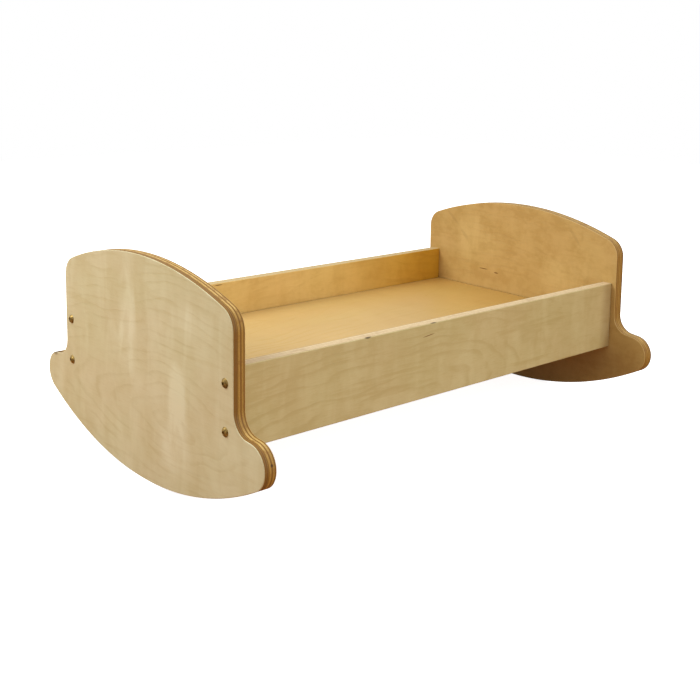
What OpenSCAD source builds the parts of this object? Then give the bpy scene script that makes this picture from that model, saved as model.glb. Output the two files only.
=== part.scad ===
// Toy cradle of birch plywood: two arched end panels that stand on curved rocker feet,
// two side rails between them, and a flat floor board let in between rails and panels.
// Millimetres. The origin is on the ground, midway between the four sides.
// +X runs from the head panel to the foot panel, +Y from the front rail to the back rail.

/* [Overall] */

// Length over both end panels
cradle_len = 600; // [480:10:760]
// Height of the end panels, from the ground to the top of the arch
panel_h = 237.6; // [225:0.6:260]
// Width of the end panels between their straight sides
body_w = 330; // [310:1:340]
// Width over the tips of the rocker feet
foot_w = 426.2; // [410:0.2:440]
// Thickness of the plywood, the same for all five boards
stock = 14; // [12:0.1:15]
// Radius of the round-over on the edges of the rails
edge_r = 1.2; // [1:0.1:4]

/* [End panel curves] */

// Radius of the arch along the top
arch_r = 438.7; // [380:0.1:520]
// Radius of the rounded shoulders
shoulder_r = 23.2; // [16:0.1:30]
// Radius of the hollow between the side and the foot
waist_r = 21.6; // [16:0.1:26]
// Radius of the rounded tips of the feet
tip_r = 22.6; // [18:0.1:26]
// Fall of the foot's upper edge towards the tip, in degrees
foot_slope = 5.7; // [3:0.1:8]
// Radius of the rocking curve
rocker_r = 425.8; // [380:0.1:520]

/* [Tray] */

// Height of the side rails
rail_h = 82; // [70:0.1:90]
// Height of the rails' upper edge above the ground
rail_top = 156.3; // [150:0.1:165]
// How far the rails stand in from the panels' straight sides
rail_inset = 5.9; // [3:0.1:12]
// Depth of the tray from the rails' upper edge to the floor board
tray_depth = 43.4; // [30:0.1:45]
// Side of the square cleats under the floor board
cleat_side = 15; // [13:0.5:16]

/* [Connector screws] */

// Length of the screw under its head
screw_len = 50; // [40:1:60]
// Diameter of the shank and of the thread
shank_d = 5; // [4:0.1:6]
// Diameter of the domed head
head_d = 10; // [8.5:0.1:11]
// Height of the domed head
head_h = 2.8; // [2:0.1:3]
// Width of the hexagon socket across its flats
socket_w = 3.2; // [2.5:0.1:4]
// Distance between the two screws of a joint
screw_pitch = 47; // [40:0.5:50]

/* [Hidden] */

$fn = 96;
long_fn = 360;            // facets of the circles with the long arcs
eps = 0.5;                // how far a cutter runs past the face that it cuts

HEAD = -1;                // the end at -X
FOOT = 1;                 // the end at +X
FRONT = -1;               // the side at -Y
BACK = 1;                 // the side at +Y

// Heights
lower_screw_share = 0.54; // share of the rail's spare height that is below the lower screw
floor_top = rail_top - tray_depth;
floor_under = floor_top - stock;
rail_bottom = rail_top - rail_h;
cleat_z = floor_under - cleat_side / 2;
lower_screw_z = rail_bottom + (rail_h - screw_pitch) * lower_screw_share;
upper_screw_z = lower_screw_z + screw_pitch;

// Lengths and widths
rail_len = cradle_len - 2 * stock;
rail_face = body_w / 2 - rail_inset;         // the rails' outer faces
rail_y = rail_face - stock / 2;              // the rails' middles
floor_gap = 0.4;                             // dark joint line round the floor board
floor_w = 2 * (rail_face - stock - floor_gap);
floor_len = rail_len - 2 * floor_gap;
cleat_end_gap = 12;
cleat_len = rail_len - 2 * cleat_end_gap;
cleat_y = rail_face - stock - cleat_side / 2;

// Clearance of a screw in the board that it passes through
screw_play = 0.3;

// The arc of the round-over cutter is this much larger than edge_r
cutter_ease = 1.02;

// Small countersunk screws, in the cleats and the floor board
small_len = 25;
small_d = 3.5;
small_head_d = 7;
small_head_h = 2.2;
small_socket_d = 2.6;
small_socket_depth = 1.4;
cleat_screw_pitch = 200;
floor_screw_pitch = 200;

// Depth of the hexagon socket
socket_depth = head_h * 0.75;

// Threads are drawn as rings that stay within the shank's diameter
thread_depth = 0.6;
thread_pitch = 2.5;
tip_len = 4;

// End panel: middles of its round stretches, in its own plane (across, up)
arch_c = [0, panel_h - arch_r];
rocker_c = [0, rocker_r];
shoulder_x = body_w / 2 - shoulder_r;
shoulder_angle = asin(shoulder_x / (arch_r - shoulder_r));
shoulder_c = arch_c + (arch_r - shoulder_r) * [sin(shoulder_angle), cos(shoulder_angle)];
tip_angle = asin((foot_w / 2 - tip_r) / (rocker_r - tip_r));
tip_c = rocker_c + (rocker_r - tip_r) * [sin(tip_angle), -cos(tip_angle)];
// The foot's upper edge touches the tip's round and the waist's hollow
slope_n = [sin(foot_slope), cos(foot_slope)];
waist_x = body_w / 2 + waist_r;
waist_z = (tip_c * slope_n + tip_r + waist_r - waist_x * slope_n[0]) / slope_n[1];
waist_c = [waist_x, waist_z];
past = 1.2;               // how far the core runs past the arch and the rocking curve

head_panel();
foot_panel();
front_rail();
back_rail();
floor_board();
front_cleat();
back_cleat();
panel_screw(HEAD, FRONT, upper_screw_z);  // head_front_upper_screw
panel_screw(HEAD, FRONT, lower_screw_z);  // head_front_lower_screw
panel_screw(HEAD, BACK, upper_screw_z);  // head_back_upper_screw
panel_screw(HEAD, BACK, lower_screw_z);  // head_back_lower_screw
panel_screw(FOOT, FRONT, upper_screw_z);  // foot_front_upper_screw
panel_screw(FOOT, FRONT, lower_screw_z);  // foot_front_lower_screw
panel_screw(FOOT, BACK, upper_screw_z);  // foot_back_upper_screw
panel_screw(FOOT, BACK, lower_screw_z);  // foot_back_lower_screw
cleat_screw(FRONT, -1);  // front_cleat_screw_1
cleat_screw(FRONT, 0);  // front_cleat_screw_2
cleat_screw(FRONT, 1);  // front_cleat_screw_3
cleat_screw(BACK, -1);  // back_cleat_screw_1
cleat_screw(BACK, 0);  // back_cleat_screw_2
cleat_screw(BACK, 1);  // back_cleat_screw_3
floor_screw(FRONT, -1);  // front_floor_screw_1
floor_screw(FRONT, 1);  // front_floor_screw_2
floor_screw(BACK, -1);  // back_floor_screw_1
floor_screw(BACK, 1);  // back_floor_screw_2

// ---- boards ----

module head_panel() {
    end_panel(HEAD);
}

module foot_panel() {
    end_panel(FOOT);
}

module front_rail() {
    side_rail(FRONT);
}

module back_rail() {
    side_rail(BACK);
}

module front_cleat() {
    floor_cleat(FRONT);
}

module back_cleat() {
    floor_cleat(BACK);
}

// One end panel, with the four holes that its screws pass through
module end_panel(end) {
    color("BurlyWood")
    difference() {
        translate([end * (cradle_len - stock) / 2, 0, 0])
        rotate([90, 0, 90])
        linear_extrude(height = stock, center = true)
            panel_outline();
        at_panel_screws(end)
            screw_hole(shank_d + screw_play, stock + eps);
    }
}

// Arch, shoulders, straight sides, waists, feet and rocking curve
module panel_outline() {
    difference() {
        union() {
            intersection() {
                translate(arch_c) circle(r = arch_r, $fn = long_fn);
                translate(rocker_c) circle(r = rocker_r, $fn = long_fn);
                polygon(concat(half_core(1), reversed(half_core(-1))));
            }
            for (side = [-1, 1]) {
                translate([side * shoulder_c[0], shoulder_c[1]]) circle(r = shoulder_r);
                translate([side * tip_c[0], tip_c[1]]) circle(r = tip_r);
            }
        }
        for (side = [-1, 1])
            translate([side * waist_c[0], waist_c[1]]) circle(r = waist_r);
    }
}

// Straight-edged half of the panel, from past the arch down to past the rocking curve.
// Its corners are the middles of the round stretches and the points where they touch
// the straight edges.
function half_core(side) = [
    for (p = [
        arch_c + past * arch_r * [sin(shoulder_angle), cos(shoulder_angle)],
        shoulder_c,
        [body_w / 2, shoulder_c[1]],
        [body_w / 2, waist_c[1]],
        waist_c,
        waist_c - waist_r * slope_n,
        tip_c + tip_r * slope_n,
        tip_c,
        rocker_c + past * rocker_r * [sin(tip_angle), -cos(tip_angle)],
    ]) [side * p[0], p[1]]
];

function reversed(list) = [for (i = [len(list) - 1 : -1 : 0]) list[i]];

// A straight board on edge, drilled for the end screws and for its cleat's screws
module side_rail(side) {
    color("Tan")
    difference() {
        translate([0, side * rail_y, rail_bottom + rail_h / 2])
        rotate([90, 0, 0])
            rail_board();
        for (end = [HEAD, FOOT])
            at_panel_screws(end, [side])
                screw_hole(shank_d, screw_len);
        for (place = [-1, 0, 1])
            at_cleat_screw(side, place)
                screw_hole(small_d, small_len);
    }
}

// The rail lying flat, with the middle of the stock at Z = 0
module rail_board() {
    half = [rail_len / 2, rail_h / 2];
    over = [eps, 0];
    up = [0, eps];
    difference() {
        cube([rail_len, rail_h, stock], center = true);
        for (turn = [0, 180]) rotate(turn) {
            edge_round_over([-half[0], -half[1]] - over, [half[0], -half[1]] + over);
            edge_round_over([half[0], -half[1]] - up, [half[0], half[1]] + up);
        }
    }
}

// The bottom of the tray, drilled from below for its screws
module floor_board() {
    color("Wheat")
    difference() {
        translate([0, 0, floor_top - stock / 2])
            cube([floor_len, floor_w, stock], center = true);
        for (side = [FRONT, BACK])
            for (place = [-1, 1])
                at_floor_screw(side, place)
                    screw_hole(small_d, small_len);
    }
}

// A solid wood strip screwed to its rail, on which the floor board rests
module floor_cleat(side) {
    color("Peru")
    difference() {
        translate([0, side * cleat_y, cleat_z])
            cube([cleat_len, cleat_side, cleat_side], center = true);
        for (place = [-1, 0, 1])
            at_cleat_screw(side, place)
                countersunk_hole();
        for (place = [-1, 1])
            at_floor_screw(side, place)
                countersunk_hole();
    }
}

// ---- round-over cutter, for a board lying flat with its middle at Z = 0 ----

// Along a straight edge, with the board on the left of the way from a to b
module edge_round_over(a, b) {
    way = b - a;
    translate(a)
    rotate(atan2(way[1], way[0]))
    rotate([90, 0, 90])
    linear_extrude(height = norm(way))
        mirror([1, 0]) edge_corners();
}

// What is taken from both corners of a section of the board that ends at X = 0.
// The arc is a little larger than the round-over, so it meets each face at a slight angle.
module edge_corners() {
    for (face = [0, 1])
        mirror([0, face])
        translate([-edge_r, stock / 2 - edge_r])
        difference() {
            square(edge_r + eps);
            circle(r = edge_r * cutter_ease);
        }
}

// ---- screws and their holes: each lies along +Z, with its head's underside or its
// countersink's rim at the origin, and points up ----

module panel_screw(end, side, z) {
    color("DarkGoldenrod")
    at_panel_screw(end, side, z)
        connector_screw();
}

module cleat_screw(side, place) {
    color("Goldenrod")
    at_cleat_screw(side, place)
        small_screw();
}

module floor_screw(side, place) {
    color("Goldenrod")
    at_floor_screw(side, place)
        small_screw();
}

// Domed head with a hexagon socket, plain neck through the panel, thread in the rail
module connector_screw() {
    difference() {
        union() {
            domed_head(head_d / 2, head_h);
            threaded_shank(shank_d / 2, screw_len, stock + tip_len);
        }
        translate([0, 0, -head_h - eps])
            cylinder(h = socket_depth + eps, d = socket_w / cos(30), $fn = 6);
    }
}

// A cap cut from a ball, as high as the head, on the face that it clamps
module domed_head(r, h) {
    ball_r = (r * r + h * h) / (2 * h);
    rotate_extrude()
    intersection() {
        translate([0, ball_r - h]) circle(r = ball_r);
        translate([0, -h]) square([ball_r, h]);
    }
}

module small_screw() {
    difference() {
        union() {
            cylinder(h = small_head_h, d1 = small_head_d, d2 = small_d);
            threaded_shank(small_d / 2, small_len, cleat_side / 2);
        }
        translate([0, 0, -eps])
            cylinder(h = small_socket_depth + eps, d = small_socket_d, $fn = 4);
    }
}

// Shank of radius r and length len, plain for the first neck millimetres, then cut with
// rings of thread down to a blunt point
module threaded_shank(r, len, neck) {
    rings = floor((len - neck - tip_len) / thread_pitch);
    thread_end = neck + rings * thread_pitch;
    rotate_extrude($fn = 32)
        polygon(concat(
            [[0, 0], [r, 0]],
            [for (i = [0 : rings - 1]) each [
                [r, neck + i * thread_pitch],
                [r - thread_depth, neck + (i + 0.5) * thread_pitch],
            ]],
            [[r, thread_end], [r / 3, len], [0, len]]
        ));
}

module screw_hole(d, depth) {
    translate([0, 0, -eps])
        cylinder(h = depth + eps, d = d);
}

module countersunk_hole() {
    screw_hole(small_d + screw_play, cleat_side + eps);
    cylinder(h = small_head_h, d1 = small_head_d, d2 = small_d);
}

// ---- places ----

// At the panel's outer face, pointing into the rail
module at_panel_screw(end, side, z) {
    translate([end * cradle_len / 2, side * rail_y, z])
    rotate([0, -end * 90, 0])
        children();
}

module at_panel_screws(end, sides = [FRONT, BACK]) {
    for (side = sides)
        for (z = [lower_screw_z, upper_screw_z])
            at_panel_screw(end, side, z)
                children();
}

// At the cleat's inner face, pointing outwards into the rail
module at_cleat_screw(side, place) {
    translate([place * cleat_screw_pitch, side * (cleat_y - cleat_side / 2), cleat_z])
    rotate([-side * 90, 0, 0])
        children();
}

// At the cleat's underside, pointing up into the floor board
module at_floor_screw(side, place) {
    translate([place * floor_screw_pitch / 2, side * cleat_y, floor_under - cleat_side])
        children();
}
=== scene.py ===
import math

import bmesh
import bpy
from mathutils import Matrix, Vector


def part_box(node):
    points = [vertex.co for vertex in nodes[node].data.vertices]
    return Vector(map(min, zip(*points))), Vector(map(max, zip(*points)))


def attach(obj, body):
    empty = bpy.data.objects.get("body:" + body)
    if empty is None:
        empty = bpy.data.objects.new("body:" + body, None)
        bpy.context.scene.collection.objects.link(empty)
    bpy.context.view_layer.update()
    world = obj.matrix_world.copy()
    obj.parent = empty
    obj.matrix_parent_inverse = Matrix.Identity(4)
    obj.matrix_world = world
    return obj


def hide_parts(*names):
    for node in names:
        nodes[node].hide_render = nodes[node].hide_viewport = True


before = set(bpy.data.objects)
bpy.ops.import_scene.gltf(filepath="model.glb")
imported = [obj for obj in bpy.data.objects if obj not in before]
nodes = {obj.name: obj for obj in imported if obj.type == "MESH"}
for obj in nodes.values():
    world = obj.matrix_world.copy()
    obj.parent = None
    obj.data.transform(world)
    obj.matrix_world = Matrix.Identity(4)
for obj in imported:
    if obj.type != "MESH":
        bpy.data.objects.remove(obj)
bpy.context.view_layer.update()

MM = 0.001

# ---- dimensions of the end panels, as in the CAD part ----

PANEL_H = 237.6 * MM
BODY_W = 330 * MM
FOOT_W = 426.2 * MM
STOCK = 14 * MM
ARCH_R = 438.7 * MM
SHOULDER_R = 23.2 * MM
WAIST_R = 21.6 * MM
TIP_R = 22.6 * MM
FOOT_SLOPE = math.radians(5.7)
ROCKER_R = 425.8 * MM
# Round-over along the edges of both faces, and the facets across it
EDGE_R = 0.8 * MM
EDGE_STEPS = 6
# The holes that the connector screws pass through, and the facets round them
HOLE_R = 2.65 * MM
HOLE_STEPS = 24


# ---- outline of an end panel: (point, outward direction) pairs in its own plane ----

def direction(angle):
    """Unit vector at an angle from +Y, turning towards +Z."""
    return Vector((math.cos(angle), math.sin(angle)))


def arc(middle, r, start, end, steps, hollow=False):
    """Points along an arc, each with the direction that leads out of the board."""
    out = []
    for i in range(steps + 1):
        way = direction(start + (end - start) * i / steps)
        out.append((middle + r * way, -way if hollow else way))
    return out


def panel_outline():
    """Counter-clockwise, from the lowest point of the rocking curve."""
    arch_c = Vector((0, PANEL_H - ARCH_R))
    rocker_c = Vector((0, ROCKER_R))
    shoulder_x = BODY_W / 2 - SHOULDER_R
    shoulder_a = math.asin(shoulder_x / (ARCH_R - SHOULDER_R))
    up = math.pi / 2
    shoulder_c = arch_c + (ARCH_R - SHOULDER_R) * direction(up - shoulder_a)
    tip_a = math.asin((FOOT_W / 2 - TIP_R) / (ROCKER_R - TIP_R))
    tip_c = rocker_c + (ROCKER_R - TIP_R) * direction(-up + tip_a)
    slope = direction(up - FOOT_SLOPE)
    waist_x = BODY_W / 2 + WAIST_R
    waist_z = (tip_c.dot(slope) + TIP_R + WAIST_R - waist_x * slope.x) / slope.y
    waist_c = Vector((waist_x, waist_z))
    right = arc(rocker_c, ROCKER_R, -up, -up + tip_a, 40)
    right += arc(tip_c, TIP_R, -up + tip_a, up - FOOT_SLOPE, 20)
    right += arc(waist_c, WAIST_R, 3 * up - FOOT_SLOPE, 2 * up, 14, hollow=True)
    right += arc(shoulder_c, SHOULDER_R, 0, up - shoulder_a, 12)
    right += arc(arch_c, ARCH_R, up - shoulder_a, up, 32)
    whole = [right[0]]
    for point, way in right[1:]:
        if (point - whole[-1][0]).length > 0.01 * MM:
            whole.append((point, way))
    left = [(Vector((-p.x, p.y)), Vector((-w.x, w.y))) for p, w in whole[1:-1]]
    return whole + left[::-1]


# ---- meshes ----

# Edges that turn by more than this stay crisp
SHARP_ANGLE = math.radians(28)


def new_object(name, bm, material):
    mesh = bpy.data.meshes.new(name)
    bmesh.ops.recalc_face_normals(bm, faces=bm.faces)
    bm.to_mesh(mesh)
    bm.free()
    mesh.materials.append(material)
    obj = bpy.data.objects.new(name, mesh)
    bpy.context.scene.collection.objects.link(obj)
    return obj


def smooth(obj):
    """Rounds the shading of gentle edges and keeps the hard ones crisp."""
    obj.data.shade_smooth()
    obj.data.set_sharp_from_angle(angle=SHARP_ANGLE)
    weighted = obj.modifiers.new("weighted_normals", "WEIGHTED_NORMAL")
    weighted.keep_sharp = True
    weighted.weight = 80


def bridge(bm, a, b):
    """Faces between two closed loops of as many points each."""
    for i in range(len(a)):
        j = (i + 1) % len(a)
        bm.faces.new((a[i], a[j], b[j], b[i]))


def screw_places():
    """Where the four screw holes of a panel are, across and up."""
    places = []
    for side in ("front", "back"):
        for level in ("upper", "lower"):
            low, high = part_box(f"head_{side}_{level}_screw")
            places.append(((low.y + high.y) / 2, (low.z + high.z) / 2))
    return places


def build_panel(node, material):
    """An end panel with its edges rounded over on both faces, and its four screw holes."""
    low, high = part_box(node)
    outline = panel_outline()
    rings = []
    for face, sense in ((low.x, 1), (high.x, -1)):
        for i in range(EDGE_STEPS + 1)[::sense]:
            angle = i / EDGE_STEPS * math.pi / 2
            inset = EDGE_R * (1 - math.sin(angle))
            depth = EDGE_R * (1 - math.cos(angle))
            rings.append([(face + sense * depth, p.x - w.x * inset, p.y - w.y * inset)
                          for p, w in outline])
    bm = bmesh.new()
    loops = [[bm.verts.new(co) for co in ring] for ring in rings]
    for a, b in zip(loops, loops[1:]):
        bridge(bm, a, b)
    turns = [2 * math.pi * k / HOLE_STEPS for k in range(HOLE_STEPS)]
    hole_rings = []
    for y, z in screw_places():
        ends = []
        for x in (low.x, high.x):
            ends.append([bm.verts.new((x, y + HOLE_R * math.cos(t), z + HOLE_R * math.sin(t)))
                         for t in turns])
        bridge(bm, *ends)
        hole_rings.append(ends)
    bm.edges.ensure_lookup_table()
    for rim, which in ((loops[0], 0), (loops[-1], 1)):
        around = [rim] + [ends[which] for ends in hole_rings]
        edges = []
        for ring in around:
            for i in range(len(ring)):
                edges.append(bm.edges.get((ring[i], ring[(i + 1) % len(ring)])))
        bmesh.ops.triangle_fill(bm, edges=edges, use_beauty=True, use_dissolve=False)
    obj = new_object(node + "_board", bm, material)
    smooth(obj)
    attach(obj, "root")
    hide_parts(node)


# ---- materials ----

class Nodes:
    """Short calls for building one material's node tree."""

    def __init__(self, name):
        self.material = bpy.data.materials.new(name)
        self.material.use_nodes = True
        self.tree = self.material.node_tree
        self.shader = self.tree.nodes["Principled BSDF"]

    def add(self, kind, *inputs, **settings):
        node = self.tree.nodes.new(kind)
        for key, value in settings.items():
            setattr(node, key, value)
        for i, value in enumerate(inputs):
            self.put(node.inputs[i], value)
        return node

    def put(self, socket, value):
        if isinstance(value, bpy.types.NodeSocket):
            self.tree.links.new(value, socket)
        else:
            socket.default_value = value

    def math(self, operation, *inputs):
        return self.add("ShaderNodeMath", *inputs, operation=operation).outputs[0]

    def vector(self, operation, *inputs):
        return self.add("ShaderNodeVectorMath", *inputs, operation=operation).outputs[0]

    def noise(self, where, scale, detail=3.0, roughness=0.55, distortion=0.0):
        node = self.add("ShaderNodeTexNoise")
        self.put(node.inputs["Vector"], where)
        node.inputs["Scale"].default_value = scale
        node.inputs["Detail"].default_value = detail
        node.inputs["Roughness"].default_value = roughness
        node.inputs["Distortion"].default_value = distortion
        return node.outputs["Fac"]

    def fade(self, value, low, high, to_low=0.0, to_high=1.0):
        """Maps low..high to to_low..to_high, smoothly and clamped."""
        node = self.add("ShaderNodeMapRange", interpolation_type="SMOOTHSTEP")
        for socket, number in zip(node.inputs[:5], (value, low, high, to_low, to_high)):
            self.put(socket, number)
        return node.outputs[0]

    def mix(self, share, a, b, blend="MIX"):
        node = self.add("ShaderNodeMix", data_type="RGBA", blend_type=blend)
        self.put(node.inputs[0], share)
        self.put(node.inputs[6], a)
        self.put(node.inputs[7], b)
        return node.outputs[2]

    def bump(self, height, distance, strength=1.0):
        node = self.add("ShaderNodeBump")
        node.inputs["Strength"].default_value = strength
        node.inputs["Distance"].default_value = distance
        self.put(node.inputs["Height"], height)
        self.put(self.shader.inputs["Normal"], node.outputs[0])


def srgb(r, g, b):
    """Linear colour of an 8-bit sRGB one."""
    def linear(v):
        v /= 255
        return v / 12.92 if v <= 0.04045 else ((v + 0.055) / 1.055) ** 2.4
    return (linear(r), linear(g), linear(b), 1.0)


X, Y, Z = 0, 1, 2

PLIES = 9
# The two outer veneers are sanded thinner than the inner plies
OUTER_PLY = 0.35
PLY = STOCK / (PLIES - 2 + 2 * OUTER_PLY)
# Growth rings: how long and how wide their ovals are at the heart, and rings per step out
OVAL_LONG = 120 * MM
OVAL_WIDE = 25 * MM
RINGS = 2.4
# How many rings the lines wander by
RING_WANDER = 6.0
# Where in a ring the latewood starts to darken, and where it is darkest
LATEWOOD = 0.5
RING_LINE = 0.86
# How far along the grain the rings stay clear, and where they have faded out
CLEAR_RINGS = 150 * MM
LOST_RINGS = 380 * MM

# How dark the faces are before the grain darkens them, as a share of the way from the
# lightened tone to the darkened one
BASE_SHADE = 0.25
LIGHTEN = (1.07, 1.09, 1.13, 1.0)
DARKEN = (0.85, 0.80, 0.69, 1.0)
# The faces drift between these two slight casts
GREENISH = (1.0, 1.012, 0.99, 1.0)
REDDISH = (1.01, 0.992, 0.99, 1.0)

# Dark streaks, and large soft patches of painted shade
MARK_AND_SHADE_BROWN = srgb(124, 86, 44)
# Painted shadow in the joints round a board
SHADOW_GAP_BROWN = srgb(120, 78, 30)
KNOT_BROWN = srgb(60, 34, 12)
# Cut edges: plies seen along their grain and on its ends, dirt in streaks and in blotches
PALE_ENDS = srgb(188, 147, 68)
CROSS_PLY = srgb(146, 104, 36)
CROSS_ENDS = srgb(134, 98, 32)
DARK_PLY = srgb(122, 83, 30)
DARKEST_PLY = srgb(104, 68, 22)
STREAK_BROWN = srgb(126, 84, 32)
BLOTCH_BROWN = srgb(138, 94, 40)
# How strongly the dirt shows on the edges of a board of full contrast
WEAR = 0.6


class Board:
    """One plywood board. Its plies are stacked along the axis `thick`, and the grain of its
    faces runs along the axis `grain`. `lower` and `upper` are the tones of its two faces,
    from the start to the middle and at the end of the grain. `heart` is the middle of the
    growth-ring ovals, along and across the grain. `rings`, `mottle` and `flame` say how
    strongly the rings, the clouds and the wavy bands across the grain show. `edge` is the
    tone of the palest plies on the cut edges, and `contrast` how much darker the cross plies
    are. `dark_ply` is the depth of one ply that is darker than the rest, `seam` the width of
    the painted shadow line in the joints round the board. `marks_and_shade` are dark streaks and
    large soft patches of painted shade, and `glints` light patches of painted highlight, all on
    the lower face; `knots` are dark spots anywhere."""

    def __init__(self, node, thick, grain, seed, lower, upper, heart, rings, mottle, flame,
                 edge, contrast, dark_ply=None, seam=0.0, marks_and_shade=(), glints=(), knots=()):
        self.node = node
        self.thick = thick
        self.grain = grain
        self.across = X + Y + Z - thick - grain
        self.seed = seed
        self.lower = lower
        self.upper = upper
        self.heart = heart
        self.rings = rings
        self.mottle = mottle
        self.flame = flame
        self.edge = edge
        self.contrast = contrast
        self.dark_ply = dark_ply
        self.seam = seam
        self.marks_and_shade = marks_and_shade
        self.glints = glints
        self.knots = knots
        self.low, self.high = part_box(node)


def stretched(n, board, where, along, side, shift=0.0):
    """The place in the board, scaled along its grain and to the sides of it, in 1/m."""
    scales = [side, side, side]
    scales[board.grain] = along
    start = (board.seed * 1.7 + shift, board.seed * 0.9 + shift, board.seed * 2.3 + shift)
    return n.vector("MULTIPLY_ADD", where, tuple(scales), start)


def growth_rings(n, board, where, place):
    """Share of dark latewood: broken lines where the veneer was cut across the rings."""
    along = n.math("SUBTRACT", place[board.grain], board.heart[0])
    side = n.math("SUBTRACT", place[board.across], board.heart[1])
    clear = n.fade(n.math("ABSOLUTE", along), CLEAR_RINGS, LOST_RINGS, 1.0, 0.2)
    along = n.math("POWER", n.math("DIVIDE", along, OVAL_LONG), 2.0)
    side = n.math("POWER", n.math("DIVIDE", side, OVAL_WIDE), 2.0)
    radius = n.math("SQRT", n.math("ADD", n.math("ADD", along, side), 0.3))
    wobble = n.noise(stretched(n, board, where, 5, 12), 1.0, 3.0, 0.5)
    count = n.math("MULTIPLY_ADD", wobble, RING_WANDER, n.math("MULTIPLY", radius, RINGS))
    step = n.math("FRACT", count)
    rise = n.fade(step, LATEWOOD, RING_LINE)
    fall = n.fade(step, RING_LINE, 1.0, 1.0, 0.0)
    broken = n.noise(stretched(n, board, where, 14, 40, 4.4), 1.0, 2.0)
    shown = n.math("MULTIPLY", clear, n.fade(broken, 0.35, 0.62, 0.0, 1.3))
    return n.math("MULTIPLY", n.math("MULTIPLY", rise, fall), shown)


def ovals(n, board, place, spots, inner, outer):
    """Their strength inside ovals on the faces, which are given by place, length, width,
    slant and strength. They fade out between two squared distances from their middles, in
    half lengths."""
    total = 0.0
    for along, side, length, width, slant, strength in spots:
        a = n.math("SUBTRACT", place[board.grain], along)
        s = n.math("SUBTRACT", place[board.across], side)
        s = n.math("MULTIPLY_ADD", a, -math.tan(math.radians(slant)), s)
        a = n.math("POWER", n.math("DIVIDE", a, length / 2), 2.0)
        s = n.math("POWER", n.math("DIVIDE", s, width / 2), 2.0)
        spot = n.fade(n.math("ADD", a, s), inner, outer, strength, 0.0)
        total = n.math("MAXIMUM", total, spot)
    return total


def knot_spots(n, board, where):
    """Small knots that go into the wood, given by place and half sizes."""
    total = 0.0
    for middle, half in board.knots:
        away = n.vector("DIVIDE", n.vector("SUBTRACT", where, middle), half)
        away = n.add("ShaderNodeVectorMath", away, operation="LENGTH").outputs["Value"]
        total = n.math("MAXIMUM", total, n.fade(away, 0.3, 1.0, 0.8, 0.0))
    return total


def shadow_gap_line(n, board, place):
    """1 at the border of the board's faces, fading over the width of its `seam`: where the
    painted shadow in the joints round the board lies.
    """
    line = 0.0
    for axis in (board.grain, board.across):
        half = (board.high[axis] - board.low[axis]) / 2
        middle = (board.high[axis] + board.low[axis]) / 2
        reach = n.math("ABSOLUTE", n.math("SUBTRACT", place[axis], middle))
        line = n.math("MAXIMUM", line, n.fade(reach, half - board.seam, half - board.seam / 3))
    return line


def face_veneer(n, board, where, place, upper):
    """Colour of the faces, and how far the soft parts of the grain are sanded down."""
    rings = growth_rings(n, board, where, place)
    lower = n.math("SUBTRACT", 1.0, upper)
    # patches of wavy grain across the board that catch the light, and the dull ones between
    flame = n.noise(stretched(n, board, where, 36, 11), 1.0, 3.0, 0.6, 0.6)
    mottle = n.noise(stretched(n, board, where, 34, 44, 3.1), 1.0, 5.0, 0.72)
    fibre = n.noise(stretched(n, board, where, 60, 1300), 1.0, 2.0, 0.55)
    streaks = n.noise(stretched(n, board, where, 9, 130, 9.3), 1.0, 2.0, 0.5, 0.4)
    drift = n.noise(stretched(n, board, where, 6, 9, 12.1), 1.0, 2.0, 0.5)
    blush = n.noise(stretched(n, board, where, 9, 14, 7.7), 1.0, 2.0, 0.5)
    shade = n.fade(flame, 0.36, 0.68, BASE_SHADE + board.flame, BASE_SHADE)
    clouds = n.math("MULTIPLY_ADD", upper, -board.mottle / 2, board.mottle)
    shade = n.math("MULTIPLY_ADD", n.fade(mottle, 0.4, 0.75), clouds, shade)
    shade = n.math("MULTIPLY_ADD", n.fade(fibre, 0.45, 0.8), board.rings, shade)
    shade = n.math("MULTIPLY_ADD", n.fade(streaks, 0.58, 0.72), board.rings, shade)
    shade = n.math("MULTIPLY_ADD", n.fade(drift, 0.35, 0.65), 0.2, shade)
    shade = n.math("MULTIPLY_ADD", rings, board.rings, shade)
    middle = (board.low[board.grain] + board.high[board.grain]) / 2
    way = n.fade(place[board.grain], middle, board.high[board.grain])
    tone = n.mix(upper, n.mix(way, *board.lower), n.mix(way, *board.upper))
    blushed = n.mix(n.fade(blush, 0.3, 0.7), GREENISH, REDDISH)
    tone = n.mix(1.0, tone, blushed, "MULTIPLY")
    if board.glints:
        glint = n.math("MULTIPLY", ovals(n, board, place, board.glints, 0.0, 1.8), lower)
        glint = n.math("MULTIPLY", glint, n.fade(flame, 0.3, 0.6, 0.5, 1.0))
        shade = n.math("SUBTRACT", shade, glint)
    light = n.mix(1.0, tone, LIGHTEN, "MULTIPLY")
    dark = n.mix(1.0, tone, DARKEN, "MULTIPLY")
    colour = n.mix(shade, light, dark)
    # small ovals are dark streaks; large soft ones are painted shade
    if board.marks_and_shade:
        mark_and_shade = n.math("MULTIPLY", ovals(n, board, place, board.marks_and_shade, 0.2, 1.4), lower)
        colour = n.mix(mark_and_shade, colour, MARK_AND_SHADE_BROWN)
    # painted shadow in the joints between this board and its neighbours
    if board.seam:
        colour = n.mix(shadow_gap_line(n, board, place), colour, SHADOW_GAP_BROWN)
    return colour, n.math("ADD", rings, n.math("MULTIPLY", fibre, 0.8))


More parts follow.
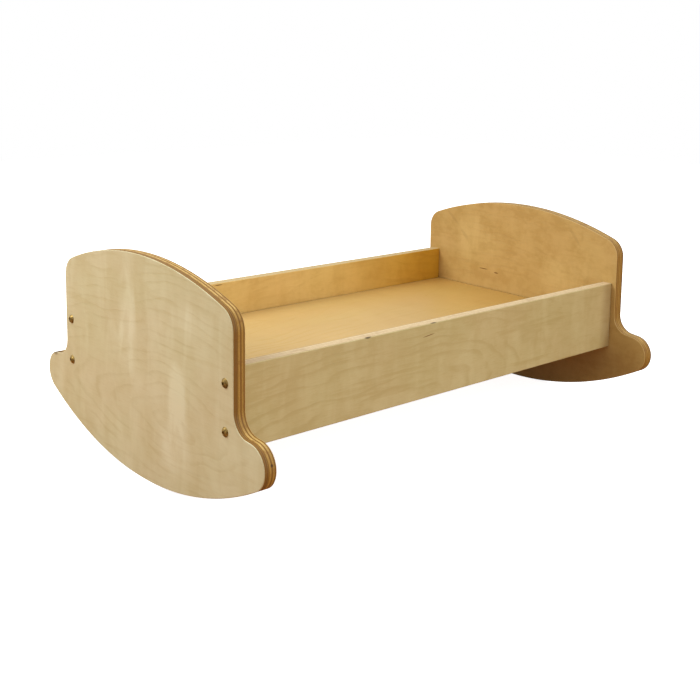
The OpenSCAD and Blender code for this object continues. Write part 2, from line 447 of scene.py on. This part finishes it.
def plywood(board):
    """Birch plywood as a solid: its plies show wherever the board is cut or rounded."""
    n = Nodes(board.node + "_birch")
    coordinates = n.add("ShaderNodeTexCoord").outputs
    where = coordinates["Object"]
    place = n.add("ShaderNodeSeparateXYZ", where).outputs
    normal = n.vector("ABSOLUTE", coordinates["Normal"])
    facing = n.add("ShaderNodeSeparateXYZ", normal).outputs

    # depth from the lower face, and the same counted in plies that wander a little
    depth = n.math("SUBTRACT", place[board.thick], board.low[board.thick])
    wander = n.noise(stretched(n, board, where, 9, 9), 1.0, 2.0)
    count = n.math("ADD", n.math("DIVIDE", depth, PLY), 1 - OUTER_PLY)
    count = n.math("MULTIPLY_ADD", n.math("SUBTRACT", wander, 0.5), 0.25, count)
    # 0 in the middle of a ply that lies like the faces, 1 in the middle of a cross ply
    cross = n.math("PINGPONG", n.math("SUBTRACT", count, 0.5), 1.0)
    cross_ply = n.fade(cross, 0.5, 0.72, 0.0, board.contrast)
    skin = n.math("MINIMUM", depth, n.math("SUBTRACT", STOCK, depth))
    is_edge = n.fade(skin, PLY * OUTER_PLY * 0.75, PLY * OUTER_PLY * 1.15)

    upper = n.math("GREATER_THAN", depth, STOCK / 2)
    face, grooves = face_veneer(n, board, where, place, upper)

    # cut edges: pale where a ply's grain runs along the edge, brown where it ends there
    streak = n.noise(stretched(n, board, where, 70, 1500), 1.0, 3.0, 0.6)
    blotch = n.noise(stretched(n, board, where, 110, 110, 5.5), 1.0, 4.0, 0.65)
    each_ply = n.add("ShaderNodeTexWhiteNoise", noise_dimensions="1D")
    n.put(each_ply.inputs["W"], n.math("ADD", n.math("FLOOR", count), board.seed))
    grain_ends = n.fade(facing[board.grain], 0.35, 0.95)
    plain_ply = n.mix(grain_ends, board.edge, PALE_ENDS)
    other_ply = n.mix(grain_ends, CROSS_PLY, CROSS_ENDS)
    edge = n.mix(cross_ply, plain_ply, other_ply)
    darker = n.fade(each_ply.outputs["Value"], 0.3, 1.0, 0.0, board.contrast / 2)
    edge = n.mix(darker, edge, DARK_PLY)
    if board.dark_ply:
        off = n.math("ABSOLUTE", n.math("SUBTRACT", depth, board.dark_ply))
        edge = n.mix(n.fade(off, PLY * 0.3, PLY * 0.7, 0.8, 0.0), edge, DARKEST_PLY)
    worn = board.contrast * WEAR
    edge = n.mix(n.fade(streak, 0.45, 0.75, 0.0, worn), edge, STREAK_BROWN)
    edge = n.mix(n.fade(blotch, 0.5, 0.7, 0.0, worn), edge, BLOTCH_BROWN)
    colour = n.mix(is_edge, face, edge)
    if board.knots:
        colour = n.mix(knot_spots(n, board, where), colour, KNOT_BROWN)
    n.put(n.shader.inputs["Base Color"], colour)

    rough = n.fade(grooves, 0.3, 1.4, 0.40, 0.56)
    n.put(n.shader.inputs["Roughness"], n.math("MULTIPLY_ADD", is_edge, 0.2, rough))
    n.shader.inputs["Specular IOR Level"].default_value = 0.35
    cut = n.math("MULTIPLY", n.math("MULTIPLY", cross_ply, is_edge), 0.8)
    n.bump(n.math("MULTIPLY_ADD", grooves, -0.5, n.math("MULTIPLY", cut, -1.0)), 0.12 * MM, 0.6)
    return n.material


def solid_wood(name, seed):
    """Planed softwood of the hidden cleats, with its grain along X."""
    n = Nodes(name)
    where = n.add("ShaderNodeTexCoord").outputs["Object"]
    moved = n.vector("ADD", where, (seed, seed * 0.7, seed * 1.3))
    rings = n.noise(n.vector("MULTIPLY", moved, (2, 180, 180)), 1.0, 3.0, 0.5, 0.6)
    fine = n.noise(n.vector("MULTIPLY", moved, (25, 1200, 1200)), 1.0, 2.0)
    colour = n.mix(n.fade(rings, 0.35, 0.65), srgb(222, 186, 128), srgb(189, 142, 84))
    colour = n.mix(n.fade(fine, 0.5, 0.8, 0.0, 0.3), colour, srgb(150, 108, 60))
    n.put(n.shader.inputs["Base Color"], colour)
    n.put(n.shader.inputs["Roughness"], n.fade(rings, 0.3, 0.7, 0.55, 0.7))
    n.shader.inputs["Specular IOR Level"].default_value = 0.3
    n.bump(n.math("ADD", rings, fine), 0.1 * MM, 0.5)
    return n.material


def metal(name, bright, dull, roughness):
    """Plated screw: cloudy tarnish and fine scratches over a half-dull metal."""
    n = Nodes(name)
    where = n.add("ShaderNodeTexCoord").outputs["Object"]
    cloud = n.noise(where, 420, 3.0, 0.6)
    scratch = n.noise(n.vector("MULTIPLY", where, (3000, 600, 2400)), 1.0, 2.0)
    n.put(n.shader.inputs["Base Color"], n.mix(n.fade(cloud, 0.3, 0.7), bright, dull))
    wear = n.math("ADD", cloud, n.math("MULTIPLY", scratch, 0.4))
    n.put(n.shader.inputs["Roughness"], n.fade(wear, 0.4, 1.0, roughness, roughness + 0.2))
    n.shader.inputs["Metallic"].default_value = 0.6
    n.bump(scratch, 0.02 * MM, 0.4)
    return n.material


# ---- the boards ----

CREAM = srgb(211, 205, 170)
PALE_BEIGE = srgb(211, 198, 148)
BEIGE = srgb(200, 184, 133)
STRAW = srgb(210, 177, 113)
WHEAT = srgb(206, 173, 109)
SAND = srgb(227, 193, 122)
HONEY = srgb(208, 170, 108)
AMBER = srgb(204, 154, 46)
OCHRE = srgb(199, 160, 86)
PALE_EDGE = srgb(236, 213, 170)
GOLD_EDGE = srgb(224, 188, 114)
TAN_EDGE = srgb(212, 188, 136)

# Glints of painted highlight, dark streaks and patches of painted shade: place along and
# across the grain, length, width, slant in degrees, strength. Knots: middle, half sizes.
HEAD_GLINTS = [(-0.068, 0.090, 0.034, 0.090, 0, 0.9), (-0.062, 0.050, 0.050, 0.050, 0, 0.6),
               (0.028, 0.160, 0.034, 0.110, 0, 0.6), (-0.085, 0.185, 0.050, 0.030, 0, 0.4)]
HEAD_KNOTS = [((-0.291, -0.2122, 0.0767), (0.0022, 0.0022, 0.0022)),
              ((-0.296, 0.195, 0.0925), (0.0080, 0.0100, 0.0060))]
# The first is a dark streak; the second is painted shade, darkening the rail's end where it
# meets the foot panel.
RAIL_MARKS_AND_SHADE = [(-0.041, 0.1436, 0.018, 0.0010, 6, 1.0), (0.290, 0.115, 0.046, 0.30, 0, 0.38)]
RAIL_KNOTS = [((-0.129, -0.1585, 0.1558), (0.0060, 0.0020, 0.0014)),
              ((-0.034, -0.1580, 0.1560), (0.0070, 0.0018, 0.0010))]
# The first five are dark streaks; the last, large and faint, is painted shade over the foot
# below the front rail.
FOOT_MARKS_AND_SHADE = [(0.058, 0.1400, 0.016, 0.0014, 0, 1.0), (0.034, 0.1376, 0.008, 0.0020, 0, 1.0),
              (0.119, 0.2060, 0.022, 0.0060, 38, 0.16), (0.096, 0.1840, 0.016, 0.0080, 40, 0.14),
              (-0.098, 0.2080, 0.022, 0.0070, 48, 0.13), (-0.19, 0.05, 0.16, 0.14, 0, 0.06)]
FOOT_GLINTS = [(0.075, 0.180, 0.080, 0.060, 0, 0.5), (-0.090, 0.150, 0.090, 0.050, 0, 0.4)]

BOARDS = [
    Board("head_panel", X, Y, 1.0, (CREAM, CREAM), (HONEY, HONEY),
          heart=(-0.065, 0.075), rings=0.20, mottle=0.25, flame=0.3,
          edge=GOLD_EDGE, contrast=1.0, dark_ply=3.4 * MM, glints=HEAD_GLINTS,
          knots=HEAD_KNOTS),
    Board("foot_panel", X, Y, 5.3, (WHEAT, WHEAT), (CREAM, CREAM),
          heart=(0.17, 0.01), rings=0.18, mottle=0.7, flame=0.2,
          edge=GOLD_EDGE, contrast=1.0, dark_ply=STOCK - 2.4 * MM,
          marks_and_shade=FOOT_MARKS_AND_SHADE, glints=FOOT_GLINTS),
    Board("front_rail", Y, X, 2.1, (PALE_BEIGE, BEIGE), (HONEY, HONEY),
          heart=(-0.14, 0.078), rings=0.34, mottle=0.3, flame=0.3,
          edge=PALE_EDGE, contrast=0.4,
          marks_and_shade=RAIL_MARKS_AND_SHADE, knots=RAIL_KNOTS),
    # The inner face deepens from SAND to AMBER towards the foot end: painted shade over the
    # veneer's own tone.
    Board("back_rail", Y, X, 3.4, (SAND, AMBER), (BEIGE, BEIGE),
          heart=(0.16, 0.11), rings=0.20, mottle=0.45, flame=0.3,
          edge=TAN_EDGE, contrast=0.25,
          marks_and_shade=[(-0.105, 0.1540, 0.012, 0.0014, 0, 1.0)]),
    # The upper face deepens from STRAW to OCHRE towards the foot end: painted shade over the
    # veneer's own tone.
    Board("floor_board", Z, X, 4.2, (BEIGE, BEIGE), (STRAW, OCHRE),
          heart=(-0.30, 0.10), rings=0.08, mottle=0.15, flame=0.1,
          edge=GOLD_EDGE, contrast=1.0, seam=1.2 * MM),
]
finish = {board.node: plywood(board) for board in BOARDS}


def dress(names, material):
    for name in names:
        obj = nodes[name]
        obj.data.materials.clear()
        obj.data.materials.append(material)
        smooth(obj)


for name in ("head_panel", "foot_panel"):
    build_panel(name, finish[name])
for name in ("front_rail", "back_rail", "floor_board"):
    dress([name], finish[name])
dress(["front_cleat", "back_cleat"], solid_wood("cleat_pine", 0.6))
panel_screws = [name for name in nodes if name.endswith(("upper_screw", "lower_screw"))]
small_screws = [name for name in nodes if "cleat_screw" in name or "floor_screw" in name]
dress(panel_screws, metal("screw_bronze", srgb(176, 148, 82), srgb(106, 84, 36), 0.42))
dress(small_screws, metal("screw_zinc", srgb(205, 196, 165), srgb(150, 140, 112), 0.35))


# ---- floor, light and camera ----

FLOOR_SIZE = 6.0
FLOOR_PARTS = 8
# How much the floor shines towards the camera, and the colour that it throws on the wood
FLOOR_GLOW = 0.9
FLOOR_BOUNCE = (0.40, 0.185, 0.07, 1.0)
WHITE = (1.0, 1.0, 1.0, 1.0)
# Strength of the dome's light at the horizon and at the zenith
DOME_LIGHT = (0.38, 0.88)
LAMP_COLOUR = (1.0, 0.99, 0.97)
LAMP_TARGET = (0, 0, 0.1)
CAMERA_PLACE = (-0.8511, -0.9563, 0.4493)
# Yaw, pitch below the horizon, and roll
CAMERA_TURN = (48.90, 8.47, 0.71)
CAMERA_LENS = 55.90
CAMERA_SHIFT = -0.2027


def pale_floor():
    """A white sweep that glows a little for the camera, and throws little light on the wood."""
    n = Nodes("studio_floor")
    where = n.add("ShaderNodeTexCoord").outputs["Object"]
    soft = n.noise(where, 1.5, 2.0)
    pale = n.mix(n.fade(soft, 0.3, 0.7), srgb(252, 252, 252), srgb(248, 248, 248))
    n.put(n.shader.inputs["Base Color"], pale)
    n.put(n.shader.inputs["Roughness"], n.fade(soft, 0.3, 0.7, 0.85, 0.95))
    n.shader.inputs["Specular IOR Level"].default_value = 0.0
    n.shader.inputs["Emission Color"].default_value = WHITE
    n.shader.inputs["Emission Strength"].default_value = FLOOR_GLOW
    dim = n.add("ShaderNodeBsdfDiffuse")
    dim.inputs["Color"].default_value = FLOOR_BOUNCE
    seen = n.add("ShaderNodeLightPath").outputs["Is Camera Ray"]
    both = n.add("ShaderNodeMixShader", seen, dim.outputs[0], n.shader.outputs[0])
    n.put(n.tree.nodes["Material Output"].inputs["Surface"], both.outputs[0])
    return n.material


def build_floor():
    bm = bmesh.new()
    steps = [FLOOR_SIZE * (i / FLOOR_PARTS - 0.5) for i in range(FLOOR_PARTS + 1)]
    grid = [[bm.verts.new((x, y, 0)) for y in steps] for x in steps]
    for i in range(FLOOR_PARTS):
        for j in range(FLOOR_PARTS):
            bm.faces.new((grid[i][j], grid[i + 1][j], grid[i + 1][j + 1], grid[i][j + 1]))
    floor = new_object("studio_floor", bm, pale_floor())


def area_light(name, place, size, power):
    data = bpy.data.lights.new(name, "AREA")
    data.shape = "DISK"
    data.size = size
    data.energy = power
    data.color = LAMP_COLOUR
    lamp = bpy.data.objects.new(name, data)
    lamp.visible_camera = False
    lamp.location = place
    aim = Vector(LAMP_TARGET) - Vector(place)
    lamp.rotation_euler = aim.to_track_quat("-Z", "Y").to_euler()
    bpy.context.scene.collection.objects.link(lamp)


def build_world():
    """White to the camera; as light, a dome that brightens from the horizon to the zenith."""
    world = bpy.data.worlds.new("studio")
    world.use_nodes = True
    tree = world.node_tree
    dome = tree.nodes["Background"]
    dome.inputs["Color"].default_value = WHITE
    where = tree.nodes.new("ShaderNodeTexCoord")
    split = tree.nodes.new("ShaderNodeSeparateXYZ")
    height = tree.nodes.new("ShaderNodeMapRange")
    height.interpolation_type = "SMOOTHSTEP"
    low, high = DOME_LIGHT
    for socket, value in zip(height.inputs[1:5], (-0.1, 0.8, low, high)):
        socket.default_value = value
    tree.links.new(where.outputs["Generated"], split.inputs[0])
    tree.links.new(split.outputs["Z"], height.inputs[0])
    tree.links.new(height.outputs[0], dome.inputs["Strength"])
    white = tree.nodes.new("ShaderNodeBackground")
    white.inputs["Strength"].default_value = 1.0
    white.inputs["Color"].default_value = WHITE
    seen = tree.nodes.new("ShaderNodeLightPath")
    both = tree.nodes.new("ShaderNodeMixShader")
    tree.links.new(seen.outputs["Is Camera Ray"], both.inputs[0])
    tree.links.new(dome.outputs[0], both.inputs[1])
    tree.links.new(white.outputs[0], both.inputs[2])
    tree.links.new(both.outputs[0], tree.nodes["World Output"].inputs["Surface"])
    bpy.context.scene.world = world


def build_camera():
    yaw, pitch, roll = (math.radians(angle) for angle in CAMERA_TURN)
    ahead = Vector((math.cos(pitch) * math.cos(yaw), math.cos(pitch) * math.sin(yaw),
                    -math.sin(pitch)))
    level = Vector((math.sin(yaw), -math.cos(yaw), 0))
    above = level.cross(ahead)
    right = math.cos(roll) * level + math.sin(roll) * above
    upward = math.cos(roll) * above - math.sin(roll) * level
    data = bpy.data.cameras.new("camera")
    data.sensor_width = 36
    data.lens = CAMERA_LENS
    data.shift_y = CAMERA_SHIFT
    data.clip_start = 0.01
    camera = bpy.data.objects.new("camera", data)
    turn = Matrix((right, upward, -ahead)).transposed().to_4x4()
    camera.matrix_world = Matrix.Translation(CAMERA_PLACE) @ turn
    bpy.context.scene.collection.objects.link(camera)
    bpy.context.scene.camera = camera


build_floor()
build_world()
area_light("key", (-0.92, 0.44, 0.90), size=0.7, power=9.0)
area_light("fill", (0.5, -1.8, 0.9), size=1.6, power=13.0)
build_camera()
bpy.context.scene.view_settings.view_transform = "Standard"
